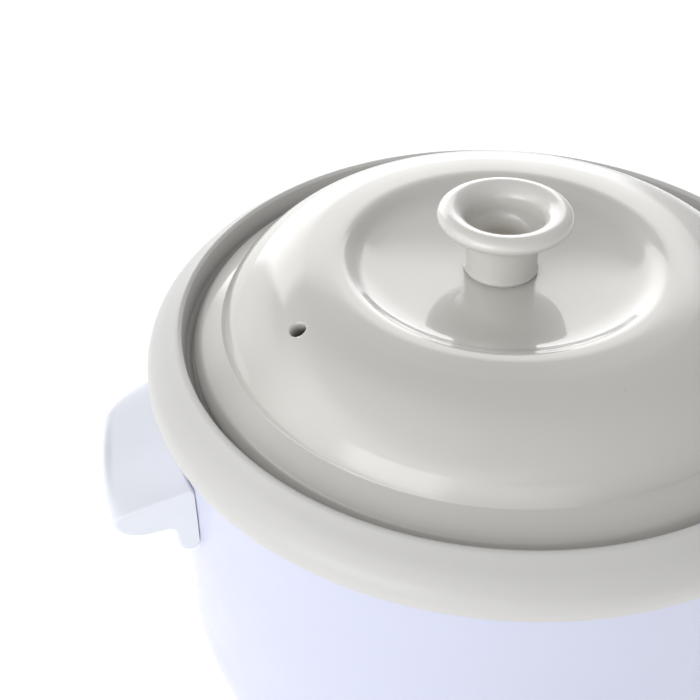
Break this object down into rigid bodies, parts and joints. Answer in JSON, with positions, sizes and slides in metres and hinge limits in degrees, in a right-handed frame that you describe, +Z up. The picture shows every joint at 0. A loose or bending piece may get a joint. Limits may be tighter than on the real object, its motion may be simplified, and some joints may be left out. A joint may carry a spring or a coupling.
{
  "type": "slow cooker",
  "caption": "Round slow cooker: glazed lift-out pot and domed lid with a ring knob, in a white heated shell with two side handles, a front dial and a rear inlet.",
  "frame": {"origin": "on the pot's vertical axis, in the plane of the feet", "axes": "+Z up, dial faces -Y, handles on the X axis"},
  "size_m": [0.299, 0.288, 0.2249],
  "materials": {
    "pot_glaze": "satin glaze",
    "lid_glaze": "high-gloss glaze",
    "knob_glaze": "high-gloss glaze",
    "silicone": "matt",
    "bright_steel": "plated",
    "white_paint": "gloss enamel",
    "well_metal": "satin",
    "cover_metal": "satin",
    "foot_rubber": "matt",
    "heater_band": "glass-fibre sleeve",
    "glass_wool": "needled felt",
    "white_plastic": "satin",
    "grey_mark": "printed",
    "lamp_lens": "clear tint",
    "lamp_glass": "clear",
    "black_plastic": "fine grain",
    "terminal_plastic": "moulded",
    "brass": "bare",
    "thermostat_body": "moulded phenolic",
    "lead_live_cover": "silicone sleeve",
    "lead_neutral_cover": "silicone sleeve",
    "lead_earth_cover": "silicone sleeve"
  },
  "bodies": {
    "base": {"band_heater": "heater_band", "bottom_cover": "cover_metal", "clamp_bolt": "bright_steel", "clamp_nut": "bright_steel", "control_panel": "white_plastic", "cover_screws": "bright_steel", "dial_scale": "grey_mark", "earth_tag": "bright_steel", "foot_back_left": "foot_rubber", "foot_back_right": "foot_rubber", "foot_front_left": "foot_rubber", "foot_front_right": "foot_rubber", "foot_screws": "bright_steel", "fuse_clip": "well_metal", "handle_screws": "bright_steel", "housing": "white_paint", "indicator_lamp": "lamp_glass", "inlet_housing": "white_plastic", "inlet_pins": "brass", "inlet_screws": "bright_steel", "inlet_socket": "black_plastic", "insulation": "glass_wool", "lamp_lens": "lamp_lens", "lead_earth": "lead_earth_cover", "lead_heater_return": "lead_neutral_cover", "lead_heater_switched": "lead_live_cover", "lead_live": "lead_live_cover", "lead_neutral": "lead_neutral_cover", "lead_switch": "lead_live_cover", "left_handle": "white_plastic", "panel_screws": "bright_steel", "right_handle": "white_plastic", "rotary_switch": "black_plastic", "stud_nuts": "bright_steel", "switch_nut": "bright_steel", "terminal_block": "terminal_plastic", "terminal_screws": "bright_steel", "thermal_fuse": "thermostat_body", "thermostat": "thermostat_body", "thermostat_clip": "well_metal", "top_ring": "silicone", "well": "well_metal", "well_studs": "bright_steel"},
    "pot": {"pot": "pot_glaze"},
    "lid": {"lid": "lid_glaze", "lid_knob": "knob_glaze", "knob_seal": "silicone", "knob_washer": "bright_steel", "knob_screw": "bright_steel"},
    "dial": {"control_knob": "white_plastic", "dial_pointer": "grey_mark", "switch_shaft": "bright_steel", "knob_clip": "bright_steel"}
  },
  "joints": [
    {"name": "pot_lift", "type": "slide", "parent": "base", "child": "pot", "axis": [0, 0, 1], "range_m": [0, 0.125]},
    {"name": "lid_lift", "type": "slide", "parent": "pot", "child": "lid", "axis": [0, 0, 1], "range_m": [0, 0.1]},
    {"name": "dial_turn", "type": "hinge", "parent": "base", "child": "dial", "pos_m": [0, -0.13, 0.038], "axis": [0, 1, 0], "range_deg": [0, 135]}
  ]
}
